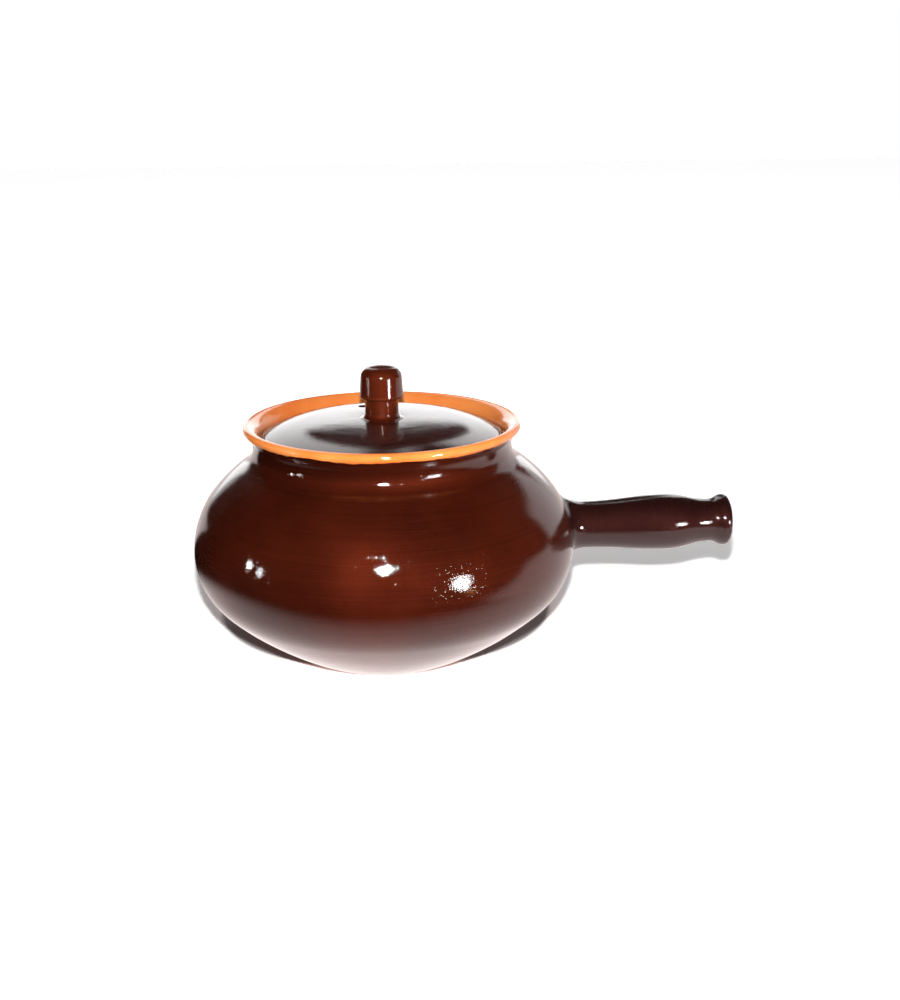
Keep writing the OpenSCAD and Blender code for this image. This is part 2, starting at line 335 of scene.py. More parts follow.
# %% Walk the handle's outside and bore
HANDLE_Z, HANDLE_WALL, END_ROUND = 87.4, 5.5, 4.0
ROOT, GRIP = Vector((150, 17.6)), Vector((211, 20.9))
WAIST, END = Vector((244.5, 16.2)), Vector((255, 19.4))
SLIP_RUN, SLIP_RINGS, BORE_START, HANDLE_STEPS = 8.0, 16, 133, 96


def s_bend(profile, to, step_length=2.0):
    """Two equal arcs to a point, level at both ends."""
    d = Vector(to) - profile.point()
    level = profile.heading
    slope = 2 * math.degrees(math.atan2(abs(d.y), abs(d.x)))
    way = 1 if (d.y > 0) == (d.x > 0) else -1
    radius = d.length_squared / (4 * abs(d.y))
    profile.arc(level + way * slope, radius, step_length).arc(level, radius, step_length)


down = Vector((0, -HANDLE_WALL))
handle = Profile(ROOT - Vector((SLIP_RUN, 0)), 0)
handle.line(ROOT, SLIP_RINGS)
for swelling in (GRIP, WAIST, END):
    s_bend(handle, swelling)
handle.arc(-180, END_ROUND, 0.5)
handle.line(WAIST + down, 6)
handle.heading = -180
s_bend(handle, GRIP + down)
s_bend(handle, ROOT + down)
handle.line((BORE_START, ROOT.y - HANDLE_WALL), 8)
handle_mesh = handle.spin(HANDLE_STEPS, (1, 0, 0), HANDLE_Z)
reaches = [v.co.x for v in handle_mesh.verts]
print("handle runs from x %.1f to %.1f mm" % (min(reaches), max(reaches)))

# %% [markdown]
# ## Luting the handle on
# A potter scores both surfaces, paints slip between them and smooths a coil of clay round the
# root with a finger, so the handle flares into the belly. A boolean with a bevel would leave
# a hard line. Here each vertex of the spare rings slides along a Bezier curve that leaves the
# handle level and lands along the belly, wherever the belly is on that side of the root.

# %% Slide the spare rings onto the belly
SLIP_SPREAD, SLIP_SINK, FAR_OUT, LEAVE_HANDLE, LAND_ON_BELLY = 8.5, 0.25, 400, 7.5, 6.5


def land_on_belly(ray):
    """Where a level ray beside the root meets the belly, and the belly's own direction there."""
    start = Vector((FAR_OUT, 0, HANDLE_Z)) + ray * (ROOT.y + SLIP_SPREAD)
    hit, normal = pot_tree.ray_cast(start, Vector((-1, 0, 0)))[:2]
    along_belly = (ray - Vector((ray.dot(normal) / normal.x, 0, 0))).normalized()
    return hit - normal * SLIP_SINK, along_belly


def bezier(a, b, c, d, t):
    return a * (1 - t) ** 3 + b * 3 * t * (1 - t) ** 2 + c * 3 * t ** 2 * (1 - t) + d * t ** 3


for vert in handle_mesh.verts:
    side = Vector((0, vert.co.y, vert.co.z - HANDLE_Z))
    if vert.co.x < ROOT.x - 0.01 and side.length > ROOT.y - 1:
        ray = side.normalized()
        landing, along_belly = land_on_belly(ray)
        start = Vector((ROOT.x, 0, HANDLE_Z)) + ray * ROOT.y
        t = (ROOT.x - vert.co.x) / SLIP_RUN
        level = start - Vector((LEAVE_HANDLE, 0, 0))
        vert.co = bezier(start, level, landing - along_belly * LAND_ON_BELLY, landing, t)
slip_edge = [v.co.z for v in handle_mesh.verts if abs(v.co.y) < 1 and v.co.x < 145]
print("slip join spans z %.1f to %.1f mm" % (min(slip_edge), max(slip_edge)))

# %% Close the handle's inner end and make the piece
rim = [e for e in handle_mesh.edges if e.is_boundary]
bmesh.ops.bridge_loops(handle_mesh, edges=rim)
bmesh.ops.recalc_face_normals(handle_mesh, faces=handle_mesh.faces)
print("open edges left:", sum(e.is_boundary for e in handle_mesh.edges))
handle_piece = finish_piece(handle_mesh, "hollow_handle")
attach(handle_piece, "pot")
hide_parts("handle")

# %% [markdown]
# ## The lid
# The lid is thrown upside down as a shallow dish, so its dome is one slow curve and its edge
# one quick one. The same walk makes it: over the dome, round the edge, across the flat ring
# that stands on the ledge, and back underneath at the wall's thickness.

# %% Walk the lid's profile
LID_R, LID_Z, CROWN_Z, EDGE_TOP, EDGE_FOOT = 86.4, 157.8, 174.2, 3.0, 1.2
EDGE_SLOPE, LID_WALL, RING_IN, PAD_R, LID_EDGE_H = 25.0, 5.5, 82.0, 15.5, 7.0
DOME_SHARE, DOME_STEP, LID_STEPS = 0.9, 1.3, 240
edge_turn = math.radians(EDGE_SLOPE)
dome_end = Vector((LID_R - EDGE_TOP * (1 - math.sin(edge_turn)),
                   LID_Z + LID_EDGE_H - EDGE_TOP * (1 - math.cos(edge_turn))))
dome = two_arcs((PAD_R, CROWN_Z), 0, dome_end, -EDGE_SLOPE, DOME_SHARE)
lid = Profile((0, CROWN_Z), 0)
lid.line((PAD_R, CROWN_Z), 6)
lid.arc(dome[1], dome[0], DOME_STEP).arc(-EDGE_SLOPE, dome[2], DOME_STEP)
lid.arc(-90, EDGE_TOP, 0.4)
lid.line((LID_R, LID_Z + EDGE_FOOT)).arc(-180, EDGE_FOOT, 0.3).line((RING_IN, LID_Z), 3)
under = dome_end - LID_WALL * left_of(-EDGE_SLOPE)
lid.line(under, 2)
lid.heading = 180 - EDGE_SLOPE
lid.arc(180 + dome[1], dome[2] - LID_WALL, DOME_STEP).arc(180, dome[0] - LID_WALL, DOME_STEP)
lid.line((0, lid.point().y), 6)
lid_mesh = lid.spin(LID_STEPS)
print("lid: %d faces" % len(lid_mesh.faces))

# %% [markdown]
# ## The steam vent
# While the clay is still soft the potter pushes a stick through the dome, which leaves a round
# hole with softened edges. A boolean would leave hard, badly shaded edges. Here the faces
# round the hole are taken out above and below, the two rims are drawn onto circles, and a few
# extruded loops round the upper edge over before the rims are bridged. The loops are given as
# shares of the hole's radius and as drops in millimetres.

# %% Open the vent through the lid
VENT_R, VENT_TURN, VENT_HALF = 43.0, math.radians(105), 4.0
VENT_CUT, VENT_RIM, VENT_LOOPS = 1.35, 1.2, ((1.12, 0.1), (1.04, 0.25), (1.0, 0.5), (1.0, 1.2))
vent = Vector((VENT_R * math.cos(VENT_TURN), VENT_R * math.sin(VENT_TURN)))


def vent_distance(co):
    return (co.xy - vent).length


cut = [f for f in lid_mesh.faces
       if all(vent_distance(v.co) < VENT_HALF * VENT_CUT for v in f.verts)]
bmesh.ops.delete(lid_mesh, geom=cut, context="FACES")
rims = [e for e in lid_mesh.edges if e.is_boundary]
split_z = sum(v.co.z for e in rims for v in e.verts) / (2 * len(rims))
upper_rim = [e for e in rims if e.verts[0].co.z > split_z]


def draw_to_circle(verts, radius, drop=0.0):
    for vert in verts:
        out = (vert.co.xy - vent).normalized() * radius
        vert.co = Vector((vent.x + out.x, vent.y + out.y, vert.co.z - drop))


draw_to_circle({v for e in rims for v in e.verts}, VENT_HALF * VENT_RIM)
for share, drop in VENT_LOOPS:
    ring = bmesh.ops.extrude_edge_only(lid_mesh, edges=upper_rim)["geom"]
    upper_rim = [e for e in ring if isinstance(e, bmesh.types.BMEdge) and e.is_boundary]
    draw_to_circle({v for e in upper_rim for v in e.verts}, VENT_HALF * share, drop)
bmesh.ops.bridge_loops(lid_mesh, edges=[e for e in lid_mesh.edges if e.is_boundary])
bmesh.ops.recalc_face_normals(lid_mesh, faces=lid_mesh.faces)
print("open edges left:", sum(e.is_boundary for e in lid_mesh.edges))

# %% Sort the lid's faces and make the piece
lid_mesh.normal_update()
FACES_DOWN, RING_TOP = -0.2, LID_Z + 0.4
for face in lid_mesh.faces:
    low_down = face.calc_center_median().z < RING_TOP
    face.material_index = int(face.normal.z < FACES_DOWN or low_down)
print("faces under the lid:", sum(f.material_index for f in lid_mesh.faces))
lid_piece = finish_piece(lid_mesh, "domed_lid")
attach(lid_piece, "lid")
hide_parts("lid")

# %% [markdown]
# ## The knob
# The knob is turned from a lump of clay on top of the lid: a foot smoothed out onto the dome,
# a short neck, and a cap with a soft upper edge and a crisp lower one to lift it by. It is one
# walk as well. Only the foot is thinner at its edge than in the CAD, as smoothed slip is.

# %% Walk and spin the knob
NECK_R, CAP_Z, CAP_R, CAP_TOP_R, CAP_ROUND, CAP_EDGE = 12.0, 189.2, 15.8, 15.0, 8.0, 1.6
KNOB_SHOULDER, KNOB_SINK, FEATHER_H, KNOB_STEPS = 204.4, 0.2, 0.15, 96
FEATHER, FOOT_CURVE, UNDER_CAP, CROWN_SLOPE = 172.0, 4.0, 1.0, 6.0
lean = math.degrees(math.atan2(CAP_R - CAP_TOP_R, KNOB_SHOULDER - CAP_Z))
knob = Profile((0, CROWN_Z - KNOB_SINK), 0)
knob.line((PAD_R, CROWN_Z - KNOB_SINK), 4).line((PAD_R, CROWN_Z + FEATHER_H))
knob.heading = FEATHER
knob.arc(90, FOOT_CURVE, 0.4)
knob.line((NECK_R, CAP_Z - UNDER_CAP), 6)
knob.heading = 90
knob.arc(0, UNDER_CAP, 0.3).line((CAP_R - CAP_EDGE, CAP_Z), 2)
knob.arc(90 + lean, CAP_EDGE, 0.3)
knob.line((CAP_TOP_R, KNOB_SHOULDER), 8)
knob.arc(180 - 2 * CROWN_SLOPE, CAP_ROUND, 0.6)
knob.arc(180, knob.point().x / math.sin(math.radians(2 * CROWN_SLOPE)), 0.8)
knob.tip.co.x = 0
knob_height = max(v.co.z for v in knob.bm.verts)
knob_mesh = knob.spin(KNOB_STEPS)
print("knob top at %.1f mm" % knob_height)
knob_piece = finish_piece(knob_mesh, "lid_knob_cap")
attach(knob_piece, "lid")
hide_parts("lid_knob")

# %% [markdown]
# ## Glaze, clay and slip
# The glaze is a glassy coat over stained, slightly crystalline brown. Each finish is one
# Principled shader: the base is the coloured layer, and a full coat is the glassy skin. A
# small helper adds nodes, so that each finish reads like a recipe.

# %% A helper that adds and joins nodes


class Recipe:
    """A node tree with short ways to add what the finishes share."""

    def __init__(self, owner):
        owner.use_nodes = True
        self.owner, self.tree = owner, owner.node_tree
        self.tree.nodes.clear()
        self.coordinates = self.node("TexCoord").outputs
        self.place = self.coordinates["Object"]

    def node(self, kind, settings=None, **inputs):
        """Adds a node. Inputs are given by name, or by number as i0, i1 and so on."""
        made = self.tree.nodes.new("ShaderNode" + kind)
        for key, value in (settings or {}).items():
            setattr(made, key, value)
        for key, value in inputs.items():
            numbered = key[0] == "i" and key[1:].isdigit()
            socket = made.inputs[int(key[1:]) if numbered else key.replace("_", " ")]
            if isinstance(value, bpy.types.NodeSocket):
                self.tree.links.new(value, socket)
            else:
                socket.default_value = value
        return made

    def math(self, operation, a, b):
        return self.node("Math", {"operation": operation}, i0=a, i1=b).outputs[0]

    def times(self, a, b):
        return self.math("MULTIPLY", a, b)

    def distance(self, point):
        """How far a place is from a fixed point."""
        return self.node("VectorMath", {"operation": "DISTANCE"},
                         i0=self.place, i1=point).outputs["Value"]

    def parts(self, vector=None):
        """The X, Y and Z of a place, or of another vector."""
        return self.node("SeparateXYZ", Vector=vector or self.place).outputs

    def ramp(self, value, low, high, start=0.0, end=1.0):
        """A smooth step from start to end as the value goes from low to high."""
        return self.node("MapRange", {"interpolation_type": "SMOOTHSTEP"}, Value=value,
                         From_Min=low, From_Max=high, To_Min=start, To_Max=end).outputs[0]

    def mottle(self, scale, detail=3.0, roughness=0.5):
        return self.node("TexNoise", Vector=self.place, Scale=scale, Detail=detail,
                         Roughness=roughness).outputs[0]

    def rings(self, per_metre, around=14.0, detail=2.0):
        """Fine lines that run round the piece, uneven along the wall and broken as they go."""
        along = self.node("Attribute", {"attribute_name": "along"}).outputs["Fac"]
        return self.node("TexNoise", {"noise_dimensions": "4D"}, Vector=self.place,
                         Scale=around, W=self.times(along, per_metre), Detail=detail).outputs[0]

    def mix(self, factor, a, b):
        """Goes from number a to number b as the factor goes from 0 to 1."""
        return self.node("Mix", i0=factor, i2=a, i3=b).outputs[0]

    def blend(self, factor, a, b):
        """Goes from colour a to colour b as the factor goes from 0 to 1."""
        a, b = (c if isinstance(c, bpy.types.NodeSocket) else (*c, 1) for c in (a, b))
        return self.node("Mix", {"data_type": "RGBA"}, i0=factor, i6=a, i7=b).outputs[2]

    def bump(self, height, strength, distance, over=None):
        """Raises the surface, over a bump that is already there if one is given."""
        under = {"Normal": over} if over else {}
        return self.node("Bump", Height=height, Strength=strength, Distance=distance,
                         **under).outputs[0]

    def finish(self, color, roughness, skin, **settings):
        """Closes the recipe with its shader and hands the finished material back."""
        shader = self.node("BsdfPrincipled", Base_Color=color, Roughness=roughness,
                           Normal=skin, **settings)
        self.node("OutputMaterial", Surface=shader.outputs[0])
        return self.owner


def recipe_for(name):
    return Recipe(bpy.data.materials.new(name))


print("recipe helper ready")

# %% [markdown]
# ## The brown glaze
# Lead glaze stained with manganese and iron is a red-brown that goes nearly black where it
# lies thick. It is brushed on as the pot turns, so thick and thin run in faint level lines.
# It also settles in soft clouds. Under the skin it holds tiny crystals that give a broad,
# dull shine round the light, for which the base is partly metallic. The same recipe serves
# the pot, the handle, the lid and the knob.

# %% The brown glaze's colour
THIN_BROWN, BROWN = (0.16, 0.025, 0.0088), (0.108, 0.0152, 0.0056)
THICK_BROWN, DULL_COOL_BROWN = (0.05, 0.0075, 0.0034), (0.034, 0.0115, 0.0105)
BRUSH_LINES, HANDLE_LINES, STREAKS_PER_LINE = 420.0, 150.0, 0.2


def brown_colour(recipe, lines_per_metre=BRUSH_LINES):
    clouds = recipe.ramp(recipe.mottle(11.0, 4.0), 0.32, 0.72)
    color = recipe.blend(clouds, BROWN, THICK_BROWN)
    brushed = recipe.ramp(recipe.rings(lines_per_metre), 0.45, 0.75, 0.0, 0.5)
    color = recipe.blend(brushed, color, THIN_BROWN)
    streak_lines = recipe.rings(lines_per_metre * STREAKS_PER_LINE, 6.0)
    return recipe.blend(recipe.ramp(streak_lines, 0.4, 0.8, 0.0, 0.35), color, THICK_BROWN)


def brown_dullness(recipe):
    return recipe.ramp(recipe.mottle(24.0), 0.3, 0.7, 0.6, 0.74)


print("brown, %d brush lines to the metre" % BRUSH_LINES)

# %% [markdown]
# The glassy skin on top is what catches the light. It is made as one bump over another, from
# the broadest to the finest: brush lines, slow waves, the fine peel that a melted glaze keeps,
# and pinholes, which are the cells of a Voronoi pattern, thinned out by each cell's own colour.
# They sparkle beside a highlight. Their depth is given for each piece, in metres, because the
# lid is smooth and the belly is not.

# %% The glaze's skin
LINE_DEPTH, WAVE_SKIN_DEPTH, PEEL_DEPTH = 0.0002, 0.0006, 0.00022
PINHOLES_PER_METRE, PINHOLE_HALF = 520.0, 0.36
POT_PINS, CLEAR_PINS = 0.00008, 0.00002
HANDLE_PINS, LID_PINS, KNOB_PINS = 0.00003, 0.00001, 0.00005
COAT = {"Coat_Weight": 1.0, "Coat_Roughness": 0.03, "Coat_IOR": 1.58, "Metallic": 0.75,
        "Specular_IOR_Level": 0.0}


def glaze_skin(recipe, pin_depth, gathered=1.0):
    """The glassy surface: brush lines, waves, peel and pinholes, which may gather in places."""
    lines = recipe.bump(recipe.rings(BRUSH_LINES), 0.12, LINE_DEPTH)
    waves = recipe.bump(recipe.mottle(55.0, 1.0), 0.1, WAVE_SKIN_DEPTH, lines)
    peel = recipe.bump(recipe.mottle(430.0, 2.0, 0.6), 0.25, PEEL_DEPTH, waves)
    cells = recipe.node("TexVoronoi", Vector=recipe.place, Scale=PINHOLES_PER_METRE).outputs
    holes = recipe.times(recipe.ramp(cells["Distance"], 0.0, PINHOLE_HALF, 1.0, 0.0),
                         recipe.ramp(cells["Color"], 0.3, 0.4))
    holes = recipe.times(holes, gathered)
    return recipe.bump(recipe.math("SUBTRACT", 1.0, holes), 1.0, pin_depth, peel)


def brown_finish(recipe, color, pin_depth):
    skin = glaze_skin(recipe, pin_depth)
    return recipe.finish(color, brown_dullness(recipe), skin, Coat_Normal=skin, **COAT)


print("pinholes every %.1f mm" % (1 / PINHOLES_PER_METRE / MM))

# %% [markdown]
# ## The clear glaze over orange clay
# The lip and the whole inside carry the same lead glaze without the stain, so the orange clay
# shows through, paler in the lines that the wheel left, deeper in soft clouds, with a few
# dark specks of grog.

# %% The orange of the clear-glazed clay
ORANGE, DEEP_ORANGE, PALE_ORANGE = (1.0, 0.3, 0.07), (0.95, 0.21, 0.035), (1.0, 0.45, 0.16)
SPECK = (0.3, 0.09, 0.03)


def orange_colour(recipe):
    clouds = recipe.ramp(recipe.mottle(26.0, 4.0), 0.35, 0.7)
    color = recipe.blend(clouds, ORANGE, DEEP_ORANGE)
    lines = recipe.ramp(recipe.rings(700.0, 20.0), 0.5, 0.8, 0.0, 0.45)
    color = recipe.blend(lines, color, PALE_ORANGE)
    specks = recipe.ramp(recipe.mottle(900.0, 2.0), 0.68, 0.74, 0.0, 0.5)
    return recipe.blend(specks, color, SPECK)


clear = recipe_for("clear_glaze_inside")
clear_skin = glaze_skin(clear, CLEAR_PINS)
clear_dullness = clear.ramp(clear.mottle(30.0), 0.3, 0.7, 0.4, 0.55)
inside_finish = clear.finish(orange_colour(clear), clear_dullness, clear_skin,
                             Coat_Normal=clear_skin, Coat_Weight=1.0, Coat_Roughness=0.05,
                             Coat_IOR=1.55, Specular_IOR_Level=0.3)
print("clear glaze ready:", inside_finish.name)

# %% [markdown]
# ## The pot's outside
# The brown is painted up to the lip by hand, so its border wanders. In the cove of the neck,
# under the lip, it is darkened as painted shade, and it soaks into the clay just above the bare
# foot. The border could be a second material, but it doesn't follow the faces, so one material
# goes from brown to orange there. Heights are in metres.

# %% Brown up to a hand-painted border under the lip
BORDER_Z, BORDER_SOFT, BORDER_WANDER = 0.1664, 0.0003, 0.006
COVE_TOP, COVE_FOOT, SOAKED_TO, SOAKED_BROWN = 0.164, 0.149, 0.006, (0.17, 0.045, 0.018)
outside = recipe_for("brown_glaze_outside")
height = outside.parts()["Z"]
uneven_edge = outside.math("SUBTRACT", outside.mottle(38.0, 3.0, 0.6), 0.5)
border = outside.math("ADD", height, outside.times(uneven_edge, BORDER_WANDER))
at_border = (border, BORDER_Z - BORDER_SOFT, BORDER_Z + BORDER_SOFT)
# painted shade: the cove of the neck, under the lip, is darkened towards the thick brown
cove_shade = outside.times(outside.ramp(height, COVE_FOOT, NECK.y * MM),
                       outside.ramp(height, NECK.y * MM, COVE_TOP, 1.0, 0.3))
brown = outside.blend(outside.times(cove_shade, 0.7), brown_colour(outside), THICK_BROWN)
soaked = outside.ramp(height, 0.0, SOAKED_TO, 0.6, 0.0)
brown = outside.blend(soaked, brown, SOAKED_BROWN)
painted = outside.blend(outside.ramp(*at_border), brown, orange_colour(outside))
print("brown meets orange at z %.1f mm" % (BORDER_Z / MM))

# %% [markdown]
# The pinholes are deepest on the front of the belly, where the glaze ran thickest, and
# shallower all round it. Under the orange nothing is metallic.

# %% Finish the outside
PINHOLE_PLACE, PINS_GATHER, PINS_THIN_OUT, PINS_LEFT = (-0.006, -0.136, 0.1), 0.045, 0.1, 0.35
from_middle = outside.distance(PINHOLE_PLACE)
gathered = outside.ramp(from_middle, PINS_GATHER, PINS_THIN_OUT, 1.0, PINS_LEFT)
skin = glaze_skin(outside, POT_PINS, gathered)
metal = outside.ramp(*at_border, COAT["Metallic"], 0.0)
outside_finish = outside.finish(painted, brown_dullness(outside), skin, Coat_Normal=skin,
                                **dict(COAT, Metallic=metal))
print("outside ready:", outside_finish.name)

# %% [markdown]
# ## The bare foot
# A glazed foot would stick to the kiln shelf, so the foot is wiped clean: dry, pale orange
# clay with grog in it, a little darker where it has been dragged over shelves.

# %% The bare terracotta of the foot
CLAY, DARK_CLAY, GROG, RUBBED = ((0.52, 0.2, 0.095), (0.4, 0.135, 0.06),
                                 (0.62, 0.36, 0.22), (0.22, 0.09, 0.05))
bare = recipe_for("bare_terracotta_foot")
clay = bare.blend(bare.ramp(bare.mottle(34.0, 5.0), 0.3, 0.7), CLAY, DARK_CLAY)
clay = bare.blend(bare.ramp(bare.mottle(1400.0, 2.0), 0.62, 0.7, 0.0, 0.7), clay, GROG)
clay = bare.blend(bare.ramp(bare.rings(300.0, 30.0), 0.55, 0.75, 0.0, 0.5), clay, RUBBED)
dry_skin = bare.bump(bare.mottle(1500.0, 3.0), 0.35, 0.0003)
dullness = bare.ramp(bare.mottle(200.0), 0.3, 0.7, 0.75, 0.95)
foot_finish = bare.finish(clay, dullness, dry_skin, Specular_IOR_Level=0.3)
for finish in (outside_finish, inside_finish, foot_finish):
    pot_piece.data.materials.append(finish)
print("pot finishes:", [m.name for m in pot_piece.data.materials])

# %% [markdown]
# ## The handle, the lid and the knob
# The handle and the lid are mixed towards a darker, duller, less red brown. On the handle this
# cooler tone is partly painted reflection of the dim grey room. On the handle's rolled end and
# round the lower edge of the knob's cap the brown is lighter: a painted highlight, partly glaze
# that runs thin on the edges. Both places are given in metres.

# %% The handle: duller, cooler brown, lighter on its rolled end (painted highlight, thin glaze)
END_LIGHT_FROM, END_LIGHT_TO, HANDLE_DULL_AND_REFLECTED = 0.2575, 0.2605, 0.86
smoked = recipe_for("brown_glaze_handle")
toward_end = smoked.math("ADD", smoked.parts()["X"], smoked.times(smoked.mottle(90.0), 0.002))
# on the handle the darker, cooler brown is partly painted reflection of the dim grey room
handle_brown = smoked.blend(HANDLE_DULL_AND_REFLECTED, brown_colour(smoked, HANDLE_LINES), DULL_COOL_BROWN)
# painted highlight, partly thin glaze: the rolled end is blended towards the thin brown
handle_brown = smoked.blend(smoked.ramp(toward_end, END_LIGHT_FROM, END_LIGHT_TO, 0.0, 0.55),
                            handle_brown, THIN_BROWN)
handle_piece.data.materials.append(brown_finish(smoked, handle_brown, HANDLE_PINS))
print("handle finish:", handle_piece.data.materials[0].name)

# %% The lid: duller, cooler brown above, clear-glazed orange below
LID_DULLING = 0.6
dome_recipe = recipe_for("brown_glaze_lid")
lid_brown = dome_recipe.blend(LID_DULLING, brown_colour(dome_recipe), DULL_COOL_BROWN)
lid_piece.data.materials.append(brown_finish(dome_recipe, lid_brown, LID_PINS))
lid_piece.data.materials.append(inside_finish)
print("lid finishes:", [m.name for m in lid_piece.data.materials])

# %% The knob: a lighter, redder brown, with a painted highlight along its cap's lower edge
CAP_UNDER, CAP_OVER, CAP_EDGE_HIGHLIGHT_BROWN = (0.1888, 0.1896), (0.1905, 0.193), (0.24, 0.05, 0.02)
KNOB_LIGHTER = 0.6
cap = recipe_for("brown_glaze_knob")
cap_edge = cap.math("ADD", cap.parts()["Z"], cap.times(cap.mottle(120.0), 0.001))
# painted highlight, partly thin glaze: a lighter band round the cap's lower edge
cap_edge_highlight_and_thin_glaze = cap.times(cap.ramp(cap_edge, *CAP_UNDER), cap.ramp(cap_edge, *CAP_OVER, 0.5, 0.0))
# the whole knob is mixed towards the lighter brown
knob_brown = cap.blend(KNOB_LIGHTER, brown_colour(cap), THIN_BROWN)
knob_brown = cap.blend(cap_edge_highlight_and_thin_glaze, knob_brown, CAP_EDGE_HIGHLIGHT_BROWN)
knob_piece.data.materials.append(brown_finish(cap, knob_brown, KNOB_PINS))
print("knob finish:", knob_piece.data.materials[0].name)

# %% [markdown]
# ## The table and the light
# The pot stands on a white sheet in a dim room, with a flash beside the camera and a few
# small lamps. The glaze mirrors all of that, so most of its look is the dark room, with the
# sheet along its far edges. The floor is a real surface that takes the shadow, and has three
# colours: one for the camera, one for the light it throws back, and one for the mirror.

# %% Lay the floor
FLOOR_HALF = 6.0
floor_mesh = bmesh.new()
bmesh.ops.create_grid(floor_mesh, x_segments=1, y_segments=1, size=FLOOR_HALF)
floor_data = bpy.data.meshes.new("white_sheet")
floor_mesh.to_mesh(floor_data)
floor_mesh.free()
floor = bpy.data.objects.new("white_sheet", floor_data)
bpy.context.scene.collection.objects.link(floor)
print("floor %.0f m across" % (2 * FLOOR_HALF))

# %% [markdown]
# ### What the glaze mirrors of the sheet
# In the glaze the sheet is bright in an oval round the pot, in a wide wedge behind it and
# beside the handle. It is brightest close under the belly, and dark elsewhere. A small floor
# could be cut to that outline, but then the camera would see its edges. So the outline is
# drawn with soft masks on the floor's own coordinates, in metres.

# %% Draw the sheet that the glaze mirrors
MIRRORED_TINT, MIRRORED_WHITE = (1.0, 0.88, 0.85, 1.0), 1.05
OVAL_SQUEEZE, OVAL_LEAN, OVAL_FROM, OVAL_TO = (0.67, 1.0, 1.0), 0.08, 0.15, 0.24
RIGHT_SLOPE, LEFT_SLOPE, WEDGE_SOFT = 0.49, -1.1, 0.06
BY_HANDLE_X, BY_HANDLE_Y = (0.15, 0.24), (-0.26, -0.18)
CLOSE_FROM, CLOSE_TO, CLOSE_GLOW = 0.09, 0.18, 1.5
sheet = recipe_for("white_sheet")
right_of_pot, behind_pot = sheet.parts()["X"], sheet.parts()["Y"]
away = sheet.distance((0, 0, 0))
squeezed = sheet.node("VectorMath", {"operation": "MULTIPLY"}, i0=sheet.place, i1=OVAL_SQUEEZE)
oval = sheet.node("VectorMath", {"operation": "LENGTH"}, i0=squeezed.outputs[0]).outputs["Value"]
oval = sheet.math("SUBTRACT", oval, sheet.times(right_of_pot, OVAL_LEAN))
near = sheet.ramp(oval, OVAL_FROM, OVAL_TO, 1.0, 0.0)
to_right = sheet.times(sheet.math("MAXIMUM", right_of_pot, 0.0), RIGHT_SLOPE)
to_left = sheet.times(sheet.math("MINIMUM", right_of_pot, 0.0), LEFT_SLOPE)
wedge = sheet.math("SUBTRACT", behind_pot, sheet.math("ADD", to_right, to_left))
behind = sheet.ramp(wedge, 0.0, WEDGE_SOFT)
by_handle = sheet.times(sheet.ramp(right_of_pot, *BY_HANDLE_X),
                        sheet.ramp(behind_pot, *BY_HANDLE_Y))
lit = sheet.math("MAXIMUM", sheet.math("MAXIMUM", near, behind), by_handle)
lit = sheet.times(lit, sheet.ramp(away, CLOSE_FROM, CLOSE_TO, CLOSE_GLOW, 1.0))
mirrored = sheet.node("Emission", Color=MIRRORED_TINT, Strength=sheet.times(lit, MIRRORED_WHITE))
print("mirrored sheet ready")

# %% [markdown]
# ### What the camera sees of the sheet
# The flash lights the sheet by how near it is, and the room adds a little. More light would
# wash the shadows out. Here the white that should show is divided by the light that arrives,
# so the sheet is evenly white and its shadows keep their darkness. Far off, where little light
# comes, the colour is simply very bright. Close under the belly's sides the light of a single
# flash leaves too little shadow, so a soft round shade on the sheet deepens it. It fades out
# behind the pot.

# %% Even the sheet out for the camera
SHOWN_WHITE, PAPER_WHITE = 1.06, (0.8, 0.8, 0.8)
FLASH_PLACE, FLASH_ON_SHEET, ROOM_ON_SHEET = (-0.0511, -0.9745, 0.4942), 0.52, 0.08
FAR_FROM, FAR_TO, FAR_WHITE = 0.45, 1.2, 14.0
SHADE_PLACE, SHADE_EDGE, SHADE = (0.0045, 0.08, 0.0), (0.129, 0.134), 0.2
SHADE_FADES_FROM, SHADE_FADES_TO = 0.03, 0.17
falloff = sheet.math("POWER", sheet.distance(FLASH_PLACE), 3)
flash_light = sheet.math("DIVIDE", FLASH_ON_SHEET, falloff)
even = sheet.math("DIVIDE", SHOWN_WHITE, sheet.math("ADD", flash_light, ROOM_ON_SHEET))
even = sheet.math("MAXIMUM", even, sheet.ramp(away, FAR_FROM, FAR_TO, 0.0, FAR_WHITE))
deepest = sheet.ramp(behind_pot, SHADE_FADES_FROM, SHADE_FADES_TO, SHADE, 1.0)
shade = sheet.mix(sheet.ramp(sheet.distance(SHADE_PLACE), *SHADE_EDGE), deepest, 1.0)
even = sheet.times(even, shade)
seen = sheet.node("CombineColor", i0=even, i1=even, i2=even).outputs[0]
print("shade %.0f mm across" % (2 * SHADE_EDGE[1] / MM))

# %% Choose by the kind of ray
ray = sheet.node("LightPath").outputs
paper = sheet.node("BsdfDiffuse", Color=sheet.blend(ray["Is Camera Ray"], PAPER_WHITE, seen))
surface = sheet.node("MixShader", i0=ray["Is Glossy Ray"], i1=paper.outputs[0],
                     i2=mirrored.outputs[0])
sheet.node("OutputMaterial", Surface=surface.outputs[0])
floor.data.materials.append(sheet.owner)
print("floor finish ready:", floor.data.materials[0].name)

